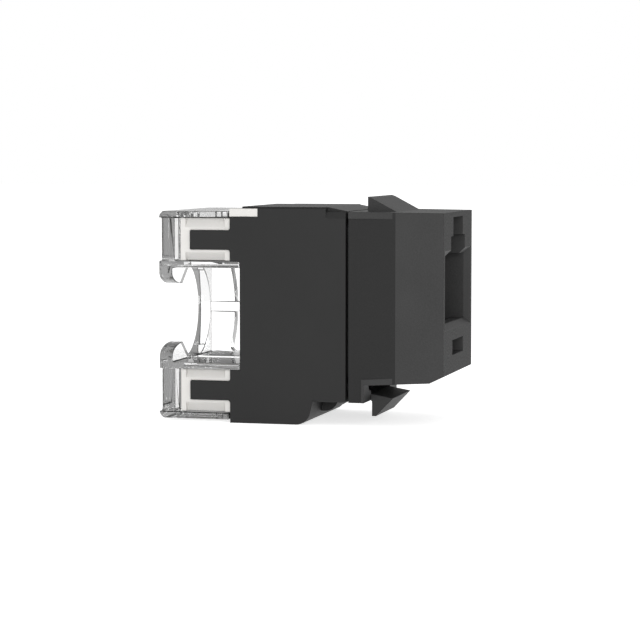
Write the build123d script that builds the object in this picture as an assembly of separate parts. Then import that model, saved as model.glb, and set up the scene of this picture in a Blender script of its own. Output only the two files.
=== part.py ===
from build123d import *
import math
import os

# Keystone jack, in millimetres. X points out of the plug face, Z up, and the X axis is the plug's own axis.
# Depths are measured back from the plug face, heights up or down from the plug's axis, and widths are
# whole widths about the middle plane, unless a comment says otherwise.

# Plug socket
plug_width = 11.9
plug_height = 6.75
plug_depth = 12.4
socket_lead_in = 0.6
tab_slot_width = 4.9
tab_slot_roof = 0.5
tab_step_width = 7.1
tab_step_height = 1.95
socket_rim = 1.6
test_hole_width = 5.45
test_hole_height = 1.5
test_hole_drop = 1.7

# Nose that passes through the panel
face_width = 14.5
body_step = 0.13
nose_draft = 1.5
nose_top = 7.72
nose_top_rise = 0.1
nose_floor = 9.4
nose_floor_rise = 0.35
chin_length = 1.37
chin_height = 0.67
front_length = 9.57
side_band = 0.6
window_frame = 0.27

# Fixed catch and flexing latch
catch_rear = 8.08
catch_run = 3.05
catch_height = 1.55
catch_width = 10.7
catch_flat = 0.37
window_rear = 8.0
collar_drop = 1.76
window_half_width = 5.4
window_sill_share = 0.57
window_corner_share = 0.9
latch_width = 8.2
latch_thickness = 0.6
latch_side_gap = 0.2
latch_pivot_depth = 11.3
latch_root_gap = 0.06
hook_rear = 7.93
hook_reach = 2.16
hook_drop = 1.63
hook_toe = 0.41
hook_tip_height = 0.21
hook_root = 0.25

# Shell behind the seam
seam_gap = 0.3
shell_half_height = 10.8
shell_middle = -2.7
shell_wall = 0.951
shell_roof = 1.3
top_crown = 0.15
top_crown_inset = 0.2
top_step_depth = 11.9
top_step_height = 0.32
top_ledge_width = 0.8
top_front_lip = 0.06
band_height = 0.66
band_depth = 0.18
low_edge_bevel = 0.16
scallop_start = 13.25
scallop_lean = 0.54
scallop_width = 4.73
scallop_round = 1.5
thumb_front = 11.8
thumb_height = 1.4
thumb_round = 1.38
mouth_shoulder = 15.4
shoulder_ledge = 0.5
land_step = 1.03
finger_cover = 1.06
finger_height = 1.88
finger_offset = 7.59
finger_thickness = 1.1
finger_root = 0.3
finger_corner = 0.05
spigot_length = 2.1
spigot_floor = 8.6
spigot_roof = 6.6
spigot_wall = 0.5
spigot_side_share = 0.3

# Clear wire cap
cap_depth = 29.3
cap_reach = 7.47
cap_wall = 1.4
cap_plate = 0.7
cap_half_height = 10.5
cap_end_inset = 0.8
cap_corner = 0.63
plate_corner = 0.1
shelf_thickness = 0.68
shelf_wing = 6.0
shelf_slot = 2.4
seat_radius = 4.95
seat_far_edge = 1.83
mouth_height = 5.96
mouth_depth = 3.5
lead_in_height = 1.25
throat_run = 2.4
far_wall = 1.4
far_wall_reach = 3.5
far_wall_root = 0.45
far_wall_bulge = 0.5
tongue_height = 1.0
tongue_proud = 0.15

# Ivory blocks
block_rear_gap = 0.82
block_height = 4.22
block_side_inset = 0.3
block_bevel = 0.7
block_rim = 0.3
block_front_collar = 0.63
block_rear_collar = 0.52
wire_edge = 1.2
wire_slot_width = 0.9
wire_slot_share = 0.648
plate_side_bar = 0.33
shank_height = 3.0
rail_length = 2.9
rail_height = 0.84
rail_width = 1.0

# Board, contacts and terminals
board_thickness = 1.2
board_side_gap = 0.23
plate_thickness = 1.2
contact_count = 8
contact_pitch = 1.016
contact_width = 0.4
contact_thickness = 0.3
contact_level = 1.0
contact_bend = 0.4
contact_peak = 1.05
contact_peak_depth = 9.7
contact_rise_run = 1.2
contact_rise = 1.35
contact_end_drop = 0.85
carrier_front = 2.73
terminal_thickness = 0.4
terminal_width = 2.3
terminal_slot = 0.35
terminal_tip = 0.6
tail_width = 0.6
pin_hole_radius = 0.4
pin_stub = 0.3

# Clearances
fit = 0.05
slide_fit = 0.06

# Radius of a corner that is left sharp
sharp = 0.01

# Places worked out from the sizes above
half_face = face_width / 2
half_body = half_face + body_step
half_plug = plug_width / 2
spigot_half = half_plug + spigot_side_share * (half_body - half_plug)
collar_floor = nose_floor + collar_drop
socket_floor = -plug_height / 2
socket_roof = plug_height / 2
seam_rear = front_length + seam_gap
latch_floor = -collar_floor
latch_pivot_height = latch_floor + latch_thickness / 2
latch_channel = latch_width / 2 + latch_side_gap
shell_top = shell_middle + shell_half_height
shell_bottom = shell_middle - shell_half_height
shell_inner = half_body - shell_wall
chamber_half_height = shell_half_height - shell_roof
block_outer = cap_half_height - cap_plate - slide_fit
block_inner = block_outer - block_height
shelf_outer = block_inner - slide_fit
shelf_inner = shelf_outer - shelf_thickness
land_rear = cap_depth - cap_reach
web_rear = land_rear - land_step
rail_front = land_rear - rail_length
block_rear = cap_depth - cap_wall - block_rear_gap
wire_slot_depth = wire_slot_share * (block_rear - land_rear)
finger_end = block_rear - finger_cover
plate_half = shell_inner - fit
window_half = plate_half - plate_side_bar
shank_half = window_half - fit
wire_pitch = (shank_half - wire_edge) / 1.5
board_half = shell_inner - board_side_gap
board_front = mouth_shoulder
board_rear = board_front + board_thickness
far = 40.0


def box(x0, x1, y0, y1, z0, z1):
    """A block between two depths behind the plug face, two widths and two heights."""
    size = Box(abs(x1 - x0), abs(y1 - y0), abs(z1 - z0))
    return Pos(-(x0 + x1) / 2, (y0 + y1) / 2, (z0 + z1) / 2) * size


def side_plane(y):
    """The plane that is seen from the side, with its own x along X and its own y along Z."""
    return Plane(origin=(0, y, 0), x_dir=(1, 0, 0), z_dir=(0, -1, 0))


def side_shape(outline, y0, y1):
    """A side outline, as depth and height pairs or a drawn face, made solid between two widths."""
    if isinstance(outline, list):
        outline = make_face(Polyline(*[(-depth, height) for depth, height in outline], close=True))
    return extrude(side_plane(y1) * outline, amount=y1 - y0)


def rounded_side_shape(outline, radii, y0, y1):
    """A side outline with a radius for each of its corners."""
    points = [(-depth, height) for depth, height in outline]
    return side_shape(make_face(FilletPolyline(*points, radius=radii, close=True)), y0, y1)


def plan_shape(outline, z0, z1):
    """A plan outline, as depth and width pairs, made solid between two heights."""
    face = make_face(Polyline(*[(-depth, width) for depth, width in outline], close=True))
    return extrude(Plane.XY.offset(z0) * face, amount=z1 - z0)


def rear_shape(outline, x0, x1):
    """An outline seen along the plug's axis, as width and height pairs, made solid between two depths."""
    face = outline
    if isinstance(outline, list):
        face = make_face(Polyline(*outline, close=True))
    return extrude(Plane.YZ.offset(-x1) * face, amount=x1 - x0)


def both_sides(piece):
    """A piece and its mirror image about the middle plane."""
    return piece + mirror(piece, about=Plane.XZ)


def mirrored_below(piece):
    """The image of a piece of the upper half of the rear end in the lower half."""
    return mirror(piece, about=Plane.XY.offset(shell_middle))


def front_housing():
    """The nose with its socket, the fixed catch, and the collar that carries the latch window."""
    flare = math.tan(math.radians(nose_draft))
    chin_floor = nose_floor - nose_floor_rise
    profile = [
        (0, nose_top),
        (front_length, nose_top + nose_top_rise),
        (front_length, -collar_floor),
        (window_rear, -collar_floor),
        (window_rear, -nose_floor),
        (chin_length, -chin_floor),
        (0, -(chin_floor - chin_height)),
    ]
    flared = half_face + flare * front_length
    plan = [(0, half_face), (front_length, flared), (front_length, -flared), (0, -half_face)]
    body = side_shape(profile, -half_body * 2, half_body * 2)
    body &= plan_shape(plan, -far, far)

    # The flat panel on each side, cut where the drafted side grows wider than the body
    panel = [
        (0, nose_top - side_band),
        (far, nose_top - side_band),
        (far, -far),
        (window_rear + window_frame, -far),
        (window_rear + window_frame, -nose_floor + side_band),
        (chin_length, -chin_floor + side_band),
        (0, -chin_floor + side_band),
    ]
    body -= both_sides(side_shape(panel, half_body, half_body * 2))

    # The spigot that holds the shell
    body += box(front_length, front_length + spigot_length, -spigot_half, spigot_half, -spigot_floor, spigot_roof)

    # The fixed catch
    catch = [
        (catch_rear, nose_top),
        (catch_rear, nose_top + catch_height),
        (catch_rear - catch_flat, nose_top + catch_height - catch_flat / 3),
        (catch_rear - catch_run, nose_top),
    ]
    body += side_shape(catch, -catch_width / 2, catch_width / 2)

    # The socket, its lead-in and the slot for the plug's tab
    mouth = Rectangle(plug_width, plug_height)
    body -= rear_shape(mouth, 0, far)
    body -= extrude(Plane.YZ.offset(-socket_lead_in) * mouth, amount=socket_lead_in, taper=-45)
    slot_top = nose_top - tab_slot_roof
    step_top = socket_roof + tab_step_height
    body -= box(0, socket_rim, -tab_slot_width / 2, tab_slot_width / 2, 0, slot_top)
    body -= box(0, socket_rim, -tab_step_width / 2, tab_step_width / 2, 0, step_top)
    body -= box(socket_rim, far, -tab_step_width / 2, tab_step_width / 2, 0, spigot_roof - spigot_wall)

    # The hollow behind the rim, which takes the contact carrier
    hollow_floor = spigot_floor - spigot_wall
    body -= box(socket_rim, far, -half_plug, half_plug, -hollow_floor, 0)

    # The small test hole under the socket
    hole_top = socket_floor - test_hole_drop
    body -= box(0, socket_rim, -test_hole_width / 2, test_hole_width / 2, hole_top - test_hole_height, hole_top)

    # The channel for the latch arm, wider above the arm
    body -= box(window_rear, far, -latch_channel, latch_channel, -collar_floor, -nose_floor)
    sill = -collar_floor + window_sill_share * collar_drop
    corner = window_corner_share * (-nose_floor - sill)
    window = Pos(0, (sill - nose_floor + corner) / 2)
    window *= RectangleRounded(2 * window_half_width, -nose_floor - sill + corner, corner - sharp)
    wide = rear_shape(window, window_rear - 1, far)
    body -= wide & box(window_rear, far, -half_body, half_body, -collar_floor, -nose_floor)
    return body


def latch_profile():
    """The latch's side outline: a rounded root, a thin arm and the hook."""
    arm_top = latch_floor + latch_thickness
    tip_depth = hook_rear - hook_reach
    return [
        (latch_pivot_depth, arm_top),
        (window_rear, arm_top),
        (tip_depth, latch_floor + hook_tip_height),
        (hook_rear - hook_toe, latch_floor - hook_drop),
        (hook_rear, latch_floor - hook_drop),
        (hook_rear, latch_floor),
        (latch_pivot_depth, latch_floor),
    ]


def panel_latch():
    """The flexing hook, which turns a few degrees about its root when it is pressed up."""
    half = latch_width / 2
    radii = [sharp, sharp, sharp, sharp, sharp, hook_root, sharp]
    arm = rounded_side_shape(latch_profile(), radii, -half, half)
    root = side_plane(half) * Pos(-latch_pivot_depth, latch_pivot_height) * Circle(latch_thickness / 2)
    arm += extrude(root, amount=latch_width)
    return arm


def rear_housing():
    """The shell behind the seam: a tube that is open at the rear, with two fingers on each side."""
    low_top = shell_top - top_step_height
    profile = [
        (seam_rear, low_top),
        (top_step_depth, low_top),
        (top_step_depth, shell_top),
        (web_rear, shell_top),
        (web_rear, shell_bottom),
        (seam_rear, shell_bottom),
    ]
    body = side_shape(profile, -half_body, half_body)

    # The top face stands a little above the side edges, and slopes down to the nose in front
    crown_top = shell_top + top_crown
    crown = [
        (seam_rear, low_top - top_front_lip),
        (seam_rear, low_top + top_front_lip),
        (top_step_depth, crown_top),
        (web_rear, crown_top),
        (web_rear, low_top - top_front_lip),
    ]
    crown_half = half_body - top_crown_inset
    crown_piece = side_shape(crown, -crown_half, crown_half)
    ledge_inner = half_body - top_ledge_width
    crown_piece -= both_sides(box(0, top_step_depth, ledge_inner, far, low_top, far))
    body += crown_piece

    # The leaning band along the front part of each top edge
    band = rear_shape(
        [
            (half_body, low_top - band_height),
            (half_body + 1, low_top - band_height),
            (half_body + 1, low_top + 1),
            (half_body - band_depth - band_depth / band_height, low_top + 1),
        ],
        seam_rear,
        top_step_depth,
    )
    body -= both_sides(band)

    # The sides reach further back beside the ivory blocks, and a finger stands out of each to clasp them
    rail_low = shell_top - rail_height
    foot_top = shell_bottom + shell_roof - fit
    cheek_low = shell_middle + block_inner - fit
    cheek_outer = [(rail_low - fit, cheek_low), (shell_bottom, 2 * shell_middle - cheek_low)]
    for sign, (outer, inner) in zip((1, -1), cheek_outer):
        middle = shell_middle + sign * finger_offset
        upper = middle + sign * finger_height / 2
        lower = middle - sign * finger_height / 2
        cheek = [
            (web_rear - 1, outer),
            (land_rear, outer),
            (land_rear, upper),
            (finger_end, upper),
            (finger_end, lower),
            (land_rear, lower),
            (land_rear, inner),
            (web_rear - 1, inner),
        ]
        radii = [sharp, sharp, finger_root, finger_corner, finger_corner, finger_root, sharp, sharp]
        body += both_sides(rounded_side_shape(cheek, radii, half_body - finger_thickness, half_body))
    body += box(web_rear, land_rear, -half_body, half_body, shell_bottom, foot_top)

    # Under the front end: the underside steps up beside the thumb block, and less under the block itself
    thumb_half = half_body - scallop_width
    front_end = box(seam_rear - 1, web_rear, -far, far, shell_bottom - 1, -collar_floor)
    low_end = [
        (scallop_start, -collar_floor),
        (web_rear, -collar_floor),
        (web_rear, shell_bottom),
        (scallop_start + scallop_lean, shell_bottom),
    ]
    kept = rounded_side_shape(low_end, [sharp, sharp, sharp, scallop_round], -half_body, half_body)
    thumb_low = -collar_floor - thumb_height
    thumb = [
        (thumb_front, -collar_floor),
        (scallop_start + scallop_round, -collar_floor),
        (scallop_start + scallop_round, thumb_low),
        (thumb_front, thumb_low),
    ]
    thumb_corner = min(thumb_round, thumb_height - 2 * sharp)
    kept += rounded_side_shape(thumb, [sharp, sharp, sharp, thumb_corner], -thumb_half, thumb_half)
    body -= front_end - kept
    low_edge = [
        (half_body - low_edge_bevel, -collar_floor),
        (half_body + 1, -collar_floor),
        (half_body + 1, -collar_floor + 1 + low_edge_bevel),
    ]
    body -= both_sides(rear_shape(low_edge, seam_rear, scallop_start))

    # The mouth for the nose's spigot, the chamber for the board and the latch arm's channel
    mouth_half = spigot_half + fit
    mouth_low = -spigot_floor - fit
    mouth_high = spigot_roof + fit
    body -= box(seam_rear, plug_depth, -mouth_half, mouth_half, mouth_low, mouth_high)
    body -= box(plug_depth, mouth_shoulder, -shell_inner, shell_inner, mouth_low, mouth_high)
    chamber_low = shell_middle - chamber_half_height
    chamber_high = shell_middle + chamber_half_height
    body -= box(mouth_shoulder, far, -shell_inner, shell_inner, chamber_low, chamber_high)
    relief_half = wire_places()[-1] + tail_width
    relief_low = chamber_low + shoulder_ledge
    body -= box(mouth_shoulder - 2 * pin_stub, mouth_shoulder, -relief_half, relief_half, relief_low, 0)
    socket_radius = latch_thickness / 2 + latch_root_gap
    channel = box(
        seam_rear,
        latch_pivot_depth,
        -latch_channel,
        latch_channel,
        -collar_floor,
        latch_pivot_height + socket_radius,
    )
    channel += side_shape(
        [
            (seam_rear, -nose_floor),
            (seam_rear, latch_pivot_height),
            (latch_pivot_depth, latch_pivot_height),
            (latch_pivot_depth, latch_pivot_height + socket_radius),
        ],
        -latch_channel,
        latch_channel,
    )
    socket = side_plane(latch_channel) * Pos(-latch_pivot_depth, latch_pivot_height) * Circle(socket_radius)
    channel += extrude(socket, amount=2 * latch_channel)
    body -= channel

    # The open notch on each top edge for the ivory rails
    rail = box(rail_front, far, half_body - rail_width, half_body + 1, rail_low, shell_top + 1)
    body -= both_sides(rail)
    return body


def terminal_plate():
    """The black plate in the back of the shell, with a raised land and a window for each ivory block."""
    reach = chamber_half_height - fit
    low = shell_middle - reach
    high = shell_middle + reach
    plate = box(web_rear - plate_thickness, web_rear, -plate_half, plate_half, low, high)
    land = box(web_rear, land_rear - fit, -plate_half, plate_half, shell_middle + block_inner, high)
    window_middle = shell_middle + (block_inner + block_outer) / 2
    window = box(
        board_rear,
        land_rear,
        -window_half,
        window_half,
        window_middle - shank_height / 2 - fit,
        window_middle + shank_height / 2 + fit,
    )
    plate += land + mirrored_below(land)
    plate -= window + mirrored_below(window)
    return plate


def wire_places():
    """The widths at which the four wires of a block lie."""
    return [(place - 1.5) * wire_pitch for place in range(4)]


def idc_block(with_rails):
    """An ivory block of the upper row: a bevelled head with four wire slots, and a shank to the board."""
    low = shell_middle + block_inner
    high = shell_middle + block_outer
    middle = shell_middle + finger_offset
    rim = finger_height / 2 + block_rim
    half = half_body - block_side_inset
    bevelled = half - block_bevel
    block = box(land_rear, block_rear, -half, half, low, high)
    bevel_front = land_rear + block_front_collar
    bevel_rear = block_rear - block_rear_collar
    low_bevel = [(bevelled, low), (half, low), (half, middle - rim)]
    high_bevel = [(bevelled, high), (half, high), (half, middle + rim)]
    block -= both_sides(rear_shape(low_bevel, bevel_front, bevel_rear))
    block -= both_sides(rear_shape(high_bevel, bevel_front, bevel_rear))

    # The grooves that take the shell's fingers
    upper = middle + finger_height / 2 + fit
    lower = middle - finger_height / 2 - fit
    groove_end = finger_end + fit
    groove = [
        (land_rear - 1, high + 1),
        (land_rear, high + 1),
        (land_rear, upper),
        (groove_end, upper),
        (groove_end, lower),
        (land_rear, lower),
        (land_rear, low - 1),
        (land_rear - 1, low - 1),
    ]
    radii = [sharp, sharp, finger_root, sharp, sharp, finger_root, sharp, sharp]
    groove_floor = half_body - finger_thickness - fit
    block -= both_sides(rounded_side_shape(groove, radii, groove_floor, half_body + 1))
    shank_middle = shell_middle + (block_inner + block_outer) / 2
    block += box(
        board_rear,
        land_rear,
        -shank_half,
        shank_half,
        shank_middle - shank_height / 2,
        shank_middle + shank_height / 2,
    )

    # The rails that lie in the top edges of the shell
    if with_rails:
        rail_low = shell_top - rail_height
        rail_outer = half_body - fit
        rail_inner = half_body - rail_width + fit
        rail_top = shell_top - fit
        block += both_sides(box(rail_front, land_rear + fit, rail_inner, rail_outer, rail_low, rail_top))
        block += box(web_rear + fit, land_rear + fit, -rail_outer, rail_outer, rail_low, rail_top)
        bridge_half = groove_floor
        bridge_low = shell_middle + chamber_half_height + fit
        block += box(web_rear + fit, land_rear, -bridge_half, bridge_half, bridge_low, rail_low)

    # A slot for each wire, and the narrow pocket of its blade and tail
    blade_half = terminal_width / 2 + fit
    tail_half = tail_width / 2 + fit
    for y in wire_places():
        half_slot = wire_slot_width / 2
        block -= box(block_rear - wire_slot_depth, block_rear, y - half_slot, y + half_slot, low, high)
        level = shank_middle
        thick = terminal_thickness / 2 + fit
        block -= box(land_rear + fit, block_rear, y - blade_half, y + blade_half, level - thick, level + thick)
        block -= box(board_rear, land_rear + 1, y - tail_half, y + tail_half, level - thick, level + thick)
    return block


def idc_terminal(y):
    """A forked blade of the upper row: two tines with a narrow gap, a waist and a tail to the board."""
    front = land_rear + 2 * fit
    rear = block_rear - terminal_tip
    half = terminal_width / 2
    gap = terminal_slot / 2
    tail = tail_width / 2
    bottom = block_rear - wire_slot_depth
    right = [
        (board_front - pin_stub, tail),
        (front, tail),
        (front, half),
        (rear - terminal_tip, half),
        (rear, half - terminal_tip / 3),
        (rear - terminal_tip, gap),
        (bottom, gap),
    ]
    left = [(depth, -width) for depth, width in reversed(right)]
    level = shell_middle + (block_inner + block_outer) / 2
    outline = [(depth, y + width) for depth, width in right + left]
    return plan_shape(outline, level - terminal_thickness / 2, level + terminal_thickness / 2)


def seat_outline():
    """The cable seat seen along the plug's axis: a round seat with a narrower mouth at the near side."""
    seat_centre = half_body - seat_far_edge - seat_radius
    seat = Pos(seat_centre, shell_middle) * Circle(seat_radius)
    seat &= Pos(seat_centre, shell_middle) * Rectangle(seat_radius * 2, shelf_inner * 2)
    mouth_end = -half_body + mouth_depth
    mouth = Pos((-far + mouth_end) / 2, shell_middle) * Rectangle(far + mouth_end, mouth_height)
    throat = make_face(
        Polyline(
            (mouth_end, shell_middle - mouth_height / 2),
            (mouth_end, shell_middle + mouth_height / 2),
            (mouth_end + throat_run, shell_middle + shelf_inner),
            (mouth_end + throat_run, shell_middle - shelf_inner),
            close=True,
        )
    )
    corner = Pos(mouth_end - mouth_depth / 2, shell_middle + (mouth_height + lead_in_height) / 2)
    lip = corner * Rectangle(mouth_depth, lead_in_height)
    lead_in_middle = shell_middle + mouth_height / 2 + lead_in_height
    lip -= Pos(mouth_end, lead_in_middle) * Ellipse(mouth_depth, lead_in_height)
    lip += mirror(lip, about=Plane.XZ.offset(-shell_middle))
    return seat + mouth + throat + lip


def wire_cap():
    """The clear cap: a rear wall with the cable seat, two open boxes over the blocks and two shelves."""
    cap_front = cap_depth - cap_wall
    plate_front = land_rear + 3 * fit
    shelf_front = web_rear + fit
    half = half_body
    top = shell_middle + cap_half_height
    plate_low = top - cap_plate
    shelf_low = shell_middle + shelf_inner
    shelf_high = shell_middle + shelf_outer

    # Upper half: the top plate with its rounded rear edge, the end wall behind the block and the shelf
    rounded = [(plate_front, plate_low), (plate_front, top), (cap_depth, top), (cap_depth, plate_low)]
    upper = rounded_side_shape(rounded, [sharp, plate_corner, cap_corner, sharp], -half, half)
    inset = half - cap_end_inset
    upper += box(cap_front, cap_depth, -inset, inset, shelf_low, plate_low)
    shelf = box(shelf_front, cap_depth, -half, half, shelf_low, shelf_high)
    slot_near = -half + shelf_wing
    shelf -= box(shelf_front, cap_front, slot_near, slot_near + shelf_slot, shelf_low, shelf_high)
    upper += shelf

    # Wire slots through the top plate, and the ribs that press the wires into the forks
    for y in wire_places():
        half_slot = wire_slot_width / 2
        upper -= box(block_rear - wire_slot_depth, cap_front, y - half_slot, y + half_slot, plate_low, top)
        rib_half = half_slot - slide_fit
        rib_low = shelf_high
        upper += box(block_rear - terminal_tip / 2, cap_front, y - rib_half, y + rib_half, rib_low, plate_low)
    cap = upper + mirrored_below(upper)

    # The rear wall between the shelves, the cable seat in it and the far side wall
    wall = box(cap_front, cap_depth, -half, half, shell_middle - shelf_inner, shell_middle + shelf_inner)
    wall -= rear_shape(seat_outline(), cap_front - 1, cap_depth + 1)
    cap += wall
    side_front = cap_depth - far_wall_reach
    low = shell_middle - shelf_inner
    high = shell_middle + shelf_inner
    root = far_wall_root
    turn = root * (1 - math.sqrt(0.5))
    low_root = ThreePointArc((root - side_front, low), (turn - side_front, low + turn), (-side_front, low + root))
    high_root = ThreePointArc((-side_front, high - root), (turn - side_front, high - turn), (root - side_front, high))
    bulge = (far_wall_bulge - side_front, shell_middle)
    front_edge = low_root + ThreePointArc((-side_front, low + root), bulge, (-side_front, high - root)) + high_root
    back_edge = Polyline((root - side_front, high), (-cap_front, high), (-cap_front, low), (root - side_front, low))
    side = side_shape(make_face(front_edge + back_edge), half - far_wall, half)
    tongue = box(
        shelf_front,
        cap_front,
        half - far_wall - tongue_proud,
        half,
        shell_middle - tongue_height / 2,
        shell_middle + tongue_height / 2,
    )
    cap += side + tongue
    return cap


def contact_places():
    """The widths at which the eight contact springs lie."""
    return [(place - (contact_count - 1) / 2) * contact_pitch for place in range(contact_count)]


def contact_carrier():
    """The insert under and behind the socket, with a groove for each contact spring."""
    half = half_plug - fit
    floor = -(spigot_floor - spigot_wall) + fit
    base_top = socket_floor - fit
    front = carrier_front
    carrier = box(front, plug_depth + fit, -half, half, floor, base_top)
    carrier += box(plug_depth, plug_depth + fit, -half, half, floor, socket_roof - fit)
    carrier += box(plug_depth + fit, board_front - fit, -board_half, board_half, floor, socket_roof - fit)
    tab_half = tab_step_width / 2 - fit
    tab_rear = board_front - 2 * pin_stub
    carrier += box(plug_depth, tab_rear, -tab_half, tab_half, 0, spigot_roof - spigot_wall - fit)
    groove_half = contact_width / 2 + slide_fit
    groove_floor = base_top - contact_level - contact_thickness / 2
    for y in contact_places():
        carrier -= box(
            front + contact_thickness * 2,
            plug_depth + contact_level,
            y - groove_half,
            y + groove_half,
            groove_floor,
            contact_peak,
        )
        carrier -= box(
            plug_depth,
            board_front,
            y - groove_half,
            y + groove_half,
            groove_floor,
            groove_floor + contact_thickness + fit,
        )
    return carrier


def contact_path():
    """The bent line of a contact spring, from the board forward, up and back to its free end."""
    level = socket_floor - fit - contact_level
    turn = carrier_front + contact_thickness * 4
    free_end = plug_depth + contact_level / 2
    peak = -contact_peak - contact_thickness / 2
    points = [
        (-(board_rear + pin_stub), level),
        (-turn, level),
        (-(turn + contact_rise_run), level + contact_rise),
        (-contact_peak_depth, peak),
        (-free_end, peak - contact_end_drop),
    ]
    return FilletPolyline(*points, radius=[contact_bend, contact_bend, contact_bend])


def plug_contact(y):
    """A contact spring: a thin band bent along its path."""
    band = trace(contact_path(), contact_thickness)
    return extrude(side_plane(y + contact_width / 2) * band, amount=contact_width)


def circuit_board():
    """The board, with a hole for each contact spring and each wire terminal."""
    half_height = chamber_half_height - fit
    low = shell_middle - half_height
    board = box(board_front, board_rear, -board_half, board_half, low, low + 2 * half_height)
    contact_line = socket_floor - fit - contact_level
    row = (block_inner + block_outer) / 2
    holes = [(y, contact_line) for y in contact_places()]
    holes += [(y, shell_middle + row) for y in wire_places()]
    holes += [(y, shell_middle - row) for y in wire_places()]
    for y, z in holes:
        board -= rear_shape(Pos(y, z) * Circle(pin_hole_radius), board_front - 1, board_rear + 1)
    return board


def save(name, piece):
    """Write one node, as a single closed solid where it is one piece."""
    solids = piece.solids()
    node = solids[0] if len(solids) == 1 else Compound(children=solids)
    node.label = name
    export_step(node, f"parts/{name}.step")
    print(f"{name}: {len(solids)} solid, {sum(s.volume for s in solids):.1f} mm3")


def main():
    os.makedirs("parts", exist_ok=True)
    save("front_housing", front_housing())
    save("panel_latch", panel_latch())
    save("rear_housing", rear_housing())
    save("terminal_plate", terminal_plate())
    save("wire_cap", wire_cap())
    save("idc_block_upper", idc_block(True))
    save("idc_block_lower", mirrored_below(idc_block(False)))
    save("contact_carrier", contact_carrier())
    save("circuit_board", circuit_board())
    for number, y in enumerate(contact_places(), start=1):
        save(f"plug_contact_{number}", plug_contact(y))
    for number, y in enumerate(wire_places(), start=1):
        save(f"idc_terminal_{number}", idc_terminal(y))
        save(f"idc_terminal_{number + 4}", mirrored_below(idc_terminal(y)))


main()
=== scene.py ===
from math import radians

import bpy
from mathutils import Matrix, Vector


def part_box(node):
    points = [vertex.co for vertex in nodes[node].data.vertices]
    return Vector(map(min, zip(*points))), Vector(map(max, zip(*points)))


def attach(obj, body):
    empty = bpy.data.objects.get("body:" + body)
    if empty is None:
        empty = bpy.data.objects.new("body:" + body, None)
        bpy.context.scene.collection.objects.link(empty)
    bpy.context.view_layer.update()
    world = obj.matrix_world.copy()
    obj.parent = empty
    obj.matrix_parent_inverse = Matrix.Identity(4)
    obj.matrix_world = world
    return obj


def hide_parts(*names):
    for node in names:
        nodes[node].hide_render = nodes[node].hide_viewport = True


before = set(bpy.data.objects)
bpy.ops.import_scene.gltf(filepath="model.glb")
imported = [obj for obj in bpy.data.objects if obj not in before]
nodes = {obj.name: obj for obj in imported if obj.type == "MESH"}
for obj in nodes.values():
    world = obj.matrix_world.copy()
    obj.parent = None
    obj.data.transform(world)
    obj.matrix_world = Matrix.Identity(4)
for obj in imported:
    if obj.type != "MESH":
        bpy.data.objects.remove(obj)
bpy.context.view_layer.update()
scene = bpy.context.scene

# Sizes are written in millimetres and turned to metres with this
MM = 0.001

# The camera, fitted to the corners of the jack in the photograph
CAMERA_PLACE = (45.82, -230.70, 13.87)
CAMERA_LOOK = (-0.2519, 0.9650, -0.0727)
CAMERA_LENS = 130.96
CAMERA_SENSOR = 36.0
# The nearest and the farthest that it sees
CAMERA_NEAR = 10.0
CAMERA_FAR = 10000.0

# The jack rests on the flat underside of its shell
FLOOR_LEVEL = -13.5
FLOOR_SIZE = 3000.0
FLOOR_TONE = "#F0F0F0"
WHITE = "#FFFFFF"

# The range of a mask or of a mixing factor
NONE_TO_ALL = (0.0, 1.0)

# Ray depths are whole numbers. The first lies between none and one, the second between one and two
ANY_DEPTH = 0.5
SECOND_DEPTH = 1.5

# Half the width over the flat side panels, and their tone, which is painted shade: darker because
# these flat faces catch less light than the slightly drafted nose faces around them
HALF_BODY = 7.38
PANEL_PAINTED_SHADE = "#1B1B1B"

# A face counts as lying in a plane when it is this near to it
FACE_SKIN = 0.004

# The spark-eroded plug face: the width of its pits, its two tones and how much rougher it is
ERODED_PIT = 0.2
ERODED_TONES = ("#1C1C1C", "#363636")
ERODED_ROUGHER = 0.15

# Plastic leaves slow changes of tone of this width as it flows into the tool
FLOW_MARK = 6.0

# How far the flow and the grain each take a plastic from its dark tone to its light one
FLOW_SHARE = 0.4
GRAIN_SHARE = 0.6

# The middle part of each noise, which is spread over the whole range that it drives
FLOW_SPREAD = (0.35, 0.65)
GRAIN_SPREAD = (0.3, 0.7)
PIT_SPREAD = (0.4, 0.6)

# How strongly the grain stands out, and the refractive index of the filled and opaque plastics
GRAIN_STRENGTH = 0.5
PLASTIC_IOR = 1.53

# Sharp edges of the moulding are rounded to this in shading, which gives them a thin line of light
EDGE_ROUND = 0.1
EDGE_SAMPLES = 4

# The clear polycarbonate: its tone, its refractive index and its faint flow waves
CLEAR_TONE = "#FCFCFC"
CLEAR_IOR = 1.585
WAVE = 4.0
WAVE_DEPTH = 0.0005
WAVE_STRENGTH = 0.1

# Points of the clear cap's mesh that are nearer than this are one, and faces flatter than this too
SAME_POINT = 0.0005
SAME_FACE = radians(0.5)

# The cap's edges sharper than this angle are broken by this width, in this many steps
CAP_SHARP = radians(35)
CAP_EDGE = 0.09
CAP_EDGE_STEPS = 2
# The cap's large faces keep their own direction, and only its edges are smoothed
CAP_FLATNESS = 100

# A rolled strip's grain is drawn out along the part's length
ROLLED_GRAIN = (0.1, 1.0, 1.0)

# The colour sockets of a Mix node, which has sockets of the same names for its other types
MIX_FIRST = 6
MIX_SECOND = 7
MIX_RESULT = 2


def linear(code):
    """An sRGB hex colour as linear red, green, blue and alpha."""
    parts = [int(code[i:i + 2], 16) / 255 for i in (1, 3, 5)]
    return [c / 12.92 if c <= 0.04045 else ((c + 0.055) / 1.055) ** 2.4 for c in parts] + [1.0]


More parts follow.
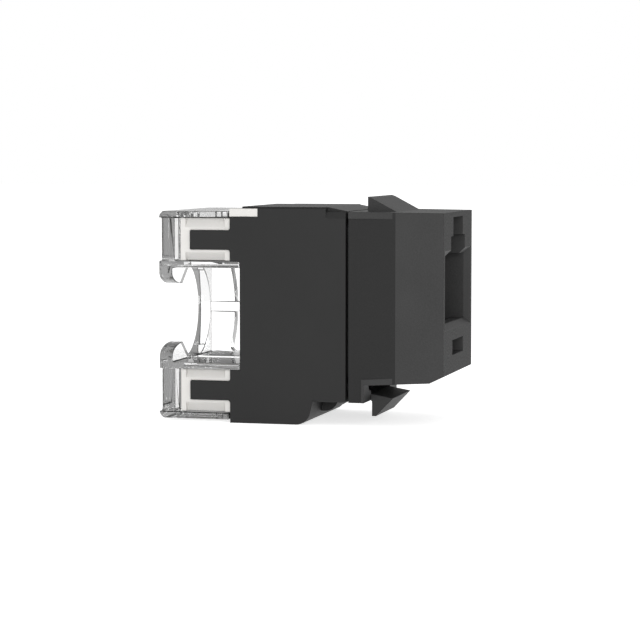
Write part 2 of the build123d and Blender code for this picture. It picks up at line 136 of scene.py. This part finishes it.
def add_node(tree, kind, settings=None, links=None):
    """A node with its socket values and settings, and links from other outputs to its inputs."""
    node = tree.nodes.new(kind)
    for key, value in (settings or {}).items():
        if key in node.inputs:
            node.inputs[key].default_value = value
        else:
            setattr(node, key, value)
    for key, source in (links or {}).items():
        tree.links.new(source, node.inputs[key])
    return node


def join(tree, value, socket):
    """Set a socket to a number or a hex colour, or link another node's output to it."""
    if isinstance(value, str):
        socket.default_value = linear(value)
    elif isinstance(value, (int, float)):
        socket.default_value = value
    else:
        tree.links.new(value, socket)


def math_node(tree, operation, first, second=0.0):
    """The output of a Math node whose inputs are numbers or other nodes' outputs."""
    node = add_node(tree, "ShaderNodeMath", {"operation": operation})
    join(tree, first, node.inputs[0])
    join(tree, second, node.inputs[1])
    return node.outputs["Value"]


def mixed(tree, factor, first, second):
    """A colour between two, each given as a hex code or as another node's output."""
    node = add_node(tree, "ShaderNodeMix", {"data_type": "RGBA"}, {"Factor": factor})
    join(tree, first, node.inputs[MIX_FIRST])
    join(tree, second, node.inputs[MIX_SECOND])
    return node.outputs[MIX_RESULT]


def range_of(tree, value, old, new):
    """A value moved from one range to another, and clamped."""
    settings = {"From Min": old[0], "From Max": old[1], "To Min": new[0], "To Max": new[1]}
    return add_node(tree, "ShaderNodeMapRange", settings, {"Value": value}).outputs["Result"]


def noise(tree, place, size_mm, detail):
    """A noise whose grains are about that size."""
    settings = {"Scale": 1.0 / (size_mm * MM), "Detail": detail}
    return add_node(tree, "ShaderNodeTexNoise", settings, {"Vector": place}).outputs["Fac"]


def place_on_part(tree):
    """Where a point lies on the part itself."""
    return add_node(tree, "ShaderNodeTexCoord").outputs["Object"]


def new_material(name):
    """An empty material, with its node tree and its output node."""
    material = bpy.data.materials.new(name)
    material.use_nodes = True
    material.node_tree.nodes.clear()
    output = add_node(material.node_tree, "ShaderNodeOutputMaterial")
    return material, material.node_tree, output


def principled(tree, output, settings, links):
    """A Principled shader on the material's surface."""
    shader = add_node(tree, "ShaderNodeBsdfPrincipled", settings, links)
    tree.links.new(shader.outputs["BSDF"], output.inputs["Surface"])


def panel_painted_shade_mask(tree, place):
    """1 on the flat panels of the nose's sides, which lie at half the body's width, else 0. It
    masks the painted shade on these panels.
    """
    split = add_node(tree, "ShaderNodeSeparateXYZ", None, {"Vector": place})
    width = math_node(tree, "ABSOLUTE", split.outputs["Y"])
    off = math_node(tree, "ABSOLUTE", math_node(tree, "SUBTRACT", width, HALF_BODY * MM))
    return math_node(tree, "LESS_THAN", off, FACE_SKIN * MM)


def eroded_face(tree, place):
    """1 on the plug face, which lies at nought and is spark-eroded in the tool, else 0."""
    split = add_node(tree, "ShaderNodeSeparateXYZ", None, {"Vector": place})
    return math_node(tree, "GREATER_THAN", split.outputs["X"], -FACE_SKIN * MM)


def moulded_plastic(name, tones, grain_mm, depth_mm, rough, specular, plug_side=False):
    """Moulded plastic, with a fine grain from the tool and slow changes of tone from the flow.

    On the plug side, the flat panels are darker as painted shade, and the plug face is
    spark-eroded.
    """
    material, tree, output = new_material(name)
    place = place_on_part(tree)
    grain = noise(tree, place, grain_mm, 3.0)
    flow = noise(tree, place, FLOW_MARK, 2.0)
    slow = range_of(tree, flow, FLOW_SPREAD, (0.0, FLOW_SHARE))
    fine = range_of(tree, grain, GRAIN_SPREAD, (0.0, GRAIN_SHARE))
    tone = mixed(tree, math_node(tree, "ADD", slow, fine), *tones)
    roughness = range_of(tree, grain, GRAIN_SPREAD, rough)
    if plug_side:
        # The flat panels take a darker tone, as painted shade of faces that turn less to the light
        # than the drafted nose
        tone = mixed(tree, panel_painted_shade_mask(tree, place), tone, PANEL_PAINTED_SHADE)
        pits = range_of(tree, noise(tree, place, ERODED_PIT, 2.0), PIT_SPREAD, NONE_TO_ALL)
        eroded = eroded_face(tree, place)
        tone = mixed(tree, eroded, tone, mixed(tree, pits, *ERODED_TONES))
        rougher = math_node(tree, "MULTIPLY", eroded, ERODED_ROUGHER)
        roughness = math_node(tree, "ADD", roughness, rougher)
    edge = add_node(tree, "ShaderNodeBevel", {"samples": EDGE_SAMPLES, "Radius": EDGE_ROUND * MM})
    bump = add_node(
        tree, "ShaderNodeBump",
        {"Strength": GRAIN_STRENGTH, "Distance": depth_mm * MM},
        {"Height": grain, "Normal": edge.outputs["Normal"]},
    )
    principled(
        tree, output,
        {"IOR": PLASTIC_IOR, "Specular IOR Level": specular},
        {"Base Color": tone, "Roughness": roughness, "Normal": bump.outputs["Normal"]},
    )
    return material


def clear_polycarbonate():
    """Clear polycarbonate from a polished tool, with faint flow waves."""
    material, tree, output = new_material("clear_polycarbonate")
    waves = noise(tree, place_on_part(tree), WAVE, 1.0)
    bump = add_node(
        tree, "ShaderNodeBump",
        {"Strength": WAVE_STRENGTH, "Distance": WAVE_DEPTH * MM},
        {"Height": waves},
    )
    principled(
        tree, output,
        {
            "Base Color": linear(CLEAR_TONE),
            "Roughness": 0.0,
            "IOR": CLEAR_IOR,
            "Transmission Weight": 1.0,
        },
        {"Normal": bump.outputs["Normal"]},
    )
    return material


def plated_metal(name, colour, rough, grain_mm):
    """Plated strip, with a fine rolled grain."""
    material, tree, output = new_material(name)
    place = place_on_part(tree)
    drawn_out = add_node(tree, "ShaderNodeMapping", {"Scale": ROLLED_GRAIN}, {"Vector": place})
    grain = noise(tree, drawn_out.outputs["Vector"], grain_mm, 2.0)
    principled(
        tree, output,
        {"Base Color": linear(colour), "Metallic": 1.0},
        {"Roughness": range_of(tree, grain, GRAIN_SPREAD, rough)},
    )
    return material


def dress(names, material):
    """Give these CAD nodes a material in place of the plain one."""
    for name in names:
        slots = nodes[name].data.materials
        slots.clear()
        slots.append(material)


def polished_cap():
    """The dressed clear cap, with its sharp edges broken and its curves smoothed."""
    bpy.ops.object.select_all(action="DESELECT")
    cap = bpy.data.objects.new("wire_cap_polished", nodes["wire_cap"].data.copy())
    scene.collection.objects.link(cap)
    cap.select_set(True)
    bpy.context.view_layer.objects.active = cap
    bpy.ops.object.mode_set(mode="EDIT")
    bpy.ops.mesh.select_all(action="SELECT")
    bpy.ops.mesh.remove_doubles(threshold=SAME_POINT * MM)
    bpy.ops.mesh.dissolve_limited(angle_limit=SAME_FACE)
    bpy.ops.object.mode_set(mode="OBJECT")
    edges = cap.modifiers.new("broken_edges", "BEVEL")
    edges.width = CAP_EDGE * MM
    edges.segments = CAP_EDGE_STEPS
    edges.use_clamp_overlap = False
    edges.limit_method = "ANGLE"
    edges.angle_limit = CAP_SHARP
    bpy.ops.object.modifier_apply(modifier=edges.name)
    # Where curves meet, the bevel throws a few points past the solid's box, so they go back onto it
    low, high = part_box("wire_cap")
    for point in cap.data.vertices:
        point.co = [min(max(c, a), b) for c, a, b in zip(point.co, low, high)]
    bpy.ops.object.shade_smooth()
    flats = cap.modifiers.new("flat_faces", "WEIGHTED_NORMAL")
    flats.weight = CAP_FLATNESS
    bpy.ops.object.modifier_apply(modifier=flats.name)
    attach(cap, "cap")
    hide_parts("wire_cap")


def seen_by_eye(tree):
    """1 for rays from the camera, straight through glass or off a first mirror face, else 0."""
    path = add_node(tree, "ShaderNodeLightPath").outputs
    direct = math_node(tree, "MAXIMUM", path["Is Camera Ray"], path["Is Transmission Ray"])
    direct = math_node(tree, "MAXIMUM", direct, path["Is Glossy Ray"])
    passes = math_node(tree, "MINIMUM", path["Transmission Depth"], 1.0)
    turns = math_node(tree, "ADD", path["Glossy Depth"], passes)
    few = math_node(tree, "LESS_THAN", turns, SECOND_DEPTH)
    return math_node(tree, "MULTIPLY", direct, few)


def seen_in_glass(tree):
    """1 for rays that are inside the clear cap or have left it after a turn inside, else 0."""
    path = add_node(tree, "ShaderNodeLightPath").outputs
    inside = math_node(tree, "GREATER_THAN", path["Transmission Depth"], ANY_DEPTH)
    turned = math_node(tree, "GREATER_THAN", path["Glossy Depth"], ANY_DEPTH)
    return math_node(tree, "MULTIPLY", inside, turned)


def mirrored(tree):
    """1 for rays that a surface has thrown back on the outside, else 0."""
    path = add_node(tree, "ShaderNodeLightPath").outputs
    outside = math_node(tree, "LESS_THAN", path["Transmission Depth"], ANY_DEPTH)
    return math_node(tree, "MULTIPLY", outside, path["Is Glossy Ray"])


def white_world(strength, in_glass, in_gloss):
    """A white studio all round: white to the eye, and a plain soft light on the object.

    It has this strength as light, another in the clear cap's inner turns and another in gloss.
    """
    world = bpy.data.worlds.new("white_studio")
    world.use_nodes = True
    scene.world = world
    tree = world.node_tree
    tree.nodes.clear()
    output = add_node(tree, "ShaderNodeOutputWorld")
    turned = range_of(tree, seen_in_glass(tree), NONE_TO_ALL, (strength, in_glass))
    white = range_of(tree, mirrored(tree), NONE_TO_ALL, (1.0, in_gloss))
    eye = seen_by_eye(tree)
    unseen = math_node(tree, "MULTIPLY", math_node(tree, "SUBTRACT", 1.0, eye), turned)
    level = math_node(tree, "ADD", unseen, math_node(tree, "MULTIPLY", eye, white))
    white_light = {"Color": linear(WHITE)}
    background = add_node(tree, "ShaderNodeBackground", white_light, {"Strength": level})
    tree.links.new(background.outputs["Background"], output.inputs["Surface"])


def white_floor(to_eye, bounce, in_glass):
    """The studio's floor, which looks white and keeps the object's shadow.

    Besides what falls on it, it gives off this much to the eye, this much as light on the object,
    and this much alone in the clear cap's inner turns.
    """
    bpy.ops.mesh.primitive_plane_add(size=FLOOR_SIZE * MM, location=(0, 0, FLOOR_LEVEL * MM))
    floor = bpy.context.object
    floor.name = "studio_floor"
    material, tree, output = new_material("white_paper_floor")
    paper = add_node(tree, "ShaderNodeBsdfDiffuse", {"Color": linear(FLOOR_TONE)})
    level = range_of(tree, seen_by_eye(tree), NONE_TO_ALL, (bounce, to_eye))
    lift = add_node(tree, "ShaderNodeEmission", {"Color": linear(WHITE)}, {"Strength": level})
    lit_paper = add_node(tree, "ShaderNodeAddShader")
    tree.links.new(paper.outputs["BSDF"], lit_paper.inputs[0])
    tree.links.new(lift.outputs["Emission"], lit_paper.inputs[1])
    glass_tone = add_node(
        tree, "ShaderNodeEmission",
        {"Color": linear(WHITE), "Strength": in_glass},
    )
    choice = add_node(tree, "ShaderNodeMixShader", None, {"Fac": seen_in_glass(tree)})
    tree.links.new(lit_paper.outputs["Shader"], choice.inputs[1])
    tree.links.new(glass_tone.outputs["Emission"], choice.inputs[2])
    tree.links.new(choice.outputs["Shader"], output.inputs["Surface"])
    floor.data.materials.append(material)


def area_light(name, place, target, size, power):
    """A soft square lamp at a place, turned to a target."""
    lamp = bpy.data.lights.new(name, "AREA")
    lamp.size = size * MM
    lamp.energy = power
    holder = bpy.data.objects.new(name, lamp)
    holder.location = Vector(place) * MM
    holder.rotation_euler = (Vector(target) - Vector(place)).to_track_quat("-Z", "Y").to_euler()
    scene.collection.objects.link(holder)


def photograph_camera():
    """The camera of the photograph."""
    data = bpy.data.cameras.new("photograph")
    data.lens = CAMERA_LENS
    data.sensor_width = CAMERA_SENSOR
    data.clip_start = CAMERA_NEAR * MM
    data.clip_end = CAMERA_FAR * MM
    camera = bpy.data.objects.new("photograph", data)
    camera.location = Vector(CAMERA_PLACE) * MM
    camera.rotation_euler = Vector(CAMERA_LOOK).to_track_quat("-Z", "Y").to_euler()
    scene.collection.objects.link(camera)
    scene.camera = camera


photograph_camera()
scene.view_settings.view_transform = "Standard"
white_world(strength=0.7, in_glass=0.34, in_gloss=0.75)
white_floor(to_eye=0.68, bounce=0.12, in_glass=0.28)
area_light("key_from_side", place=(85, -310, 20), target=(-12, 0, -2), size=170, power=0.57)

# Black polycarbonate and ABS blend, with a fine matt grain from the tool and a soft sheen. Its
# tones are lighter than the shell's, as painted light on the slightly drafted nose faces, which
# turn a little to the lamp
nose_black = moulded_plastic(
    "black_pc_abs_eroded", ("#2E2E2E", "#393939"),
    grain_mm=0.16, depth_mm=0.02, rough=(0.5, 0.6), specular=0.25, plug_side=True,
)
# The same blend from a smoother tool, with a finer grain. Its darker tone is painted shade of the
# flat shell sides, which catch less light than the drafted nose
shell_black = moulded_plastic(
    "black_pc_abs_satin", ("#1E1E1E", "#232323"),
    grain_mm=0.1, depth_mm=0.006, rough=(0.45, 0.55), specular=0.25,
)
# Black glass-filled insert in the socket
insert_black = moulded_plastic(
    "black_pbt_insert", ("#1E1E1E", "#222222"),
    grain_mm=0.12, depth_mm=0.01, rough=(0.45, 0.6), specular=0.4,
)
# Ivory PBT, matt from the tool
block_ivory = moulded_plastic(
    "ivory_pbt", ("#E2E0DC", "#E7E5E2"),
    grain_mm=0.12, depth_mm=0.006, rough=(0.4, 0.5), specular=0.5,
)
# Green solder mask over the glass and epoxy board
board_green = moulded_plastic(
    "green_solder_mask", ("#12422A", "#164C31"),
    grain_mm=0.3, depth_mm=0.01, rough=(0.25, 0.35), specular=0.5,
)
# Phosphor bronze strip, plated with gold for the springs and with tin for the wire terminals
gold_plate = plated_metal("gold_on_phosphor_bronze", "#E6B95A", rough=(0.18, 0.32), grain_mm=0.05)
tin_plate = plated_metal("tin_on_phosphor_bronze", "#C4C3C0", rough=(0.3, 0.45), grain_mm=0.05)
clear_cap = clear_polycarbonate()

dress(["front_housing", "panel_latch"], nose_black)
dress(["rear_housing", "terminal_plate"], shell_black)
dress(["contact_carrier"], insert_black)
dress(["idc_block_upper", "idc_block_lower"], block_ivory)
dress(["circuit_board"], board_green)
dress([name for name in nodes if name.startswith("plug_contact")], gold_plate)
dress([name for name in nodes if name.startswith("idc_terminal")], tin_plate)
dress(["wire_cap"], clear_cap)
polished_cap()
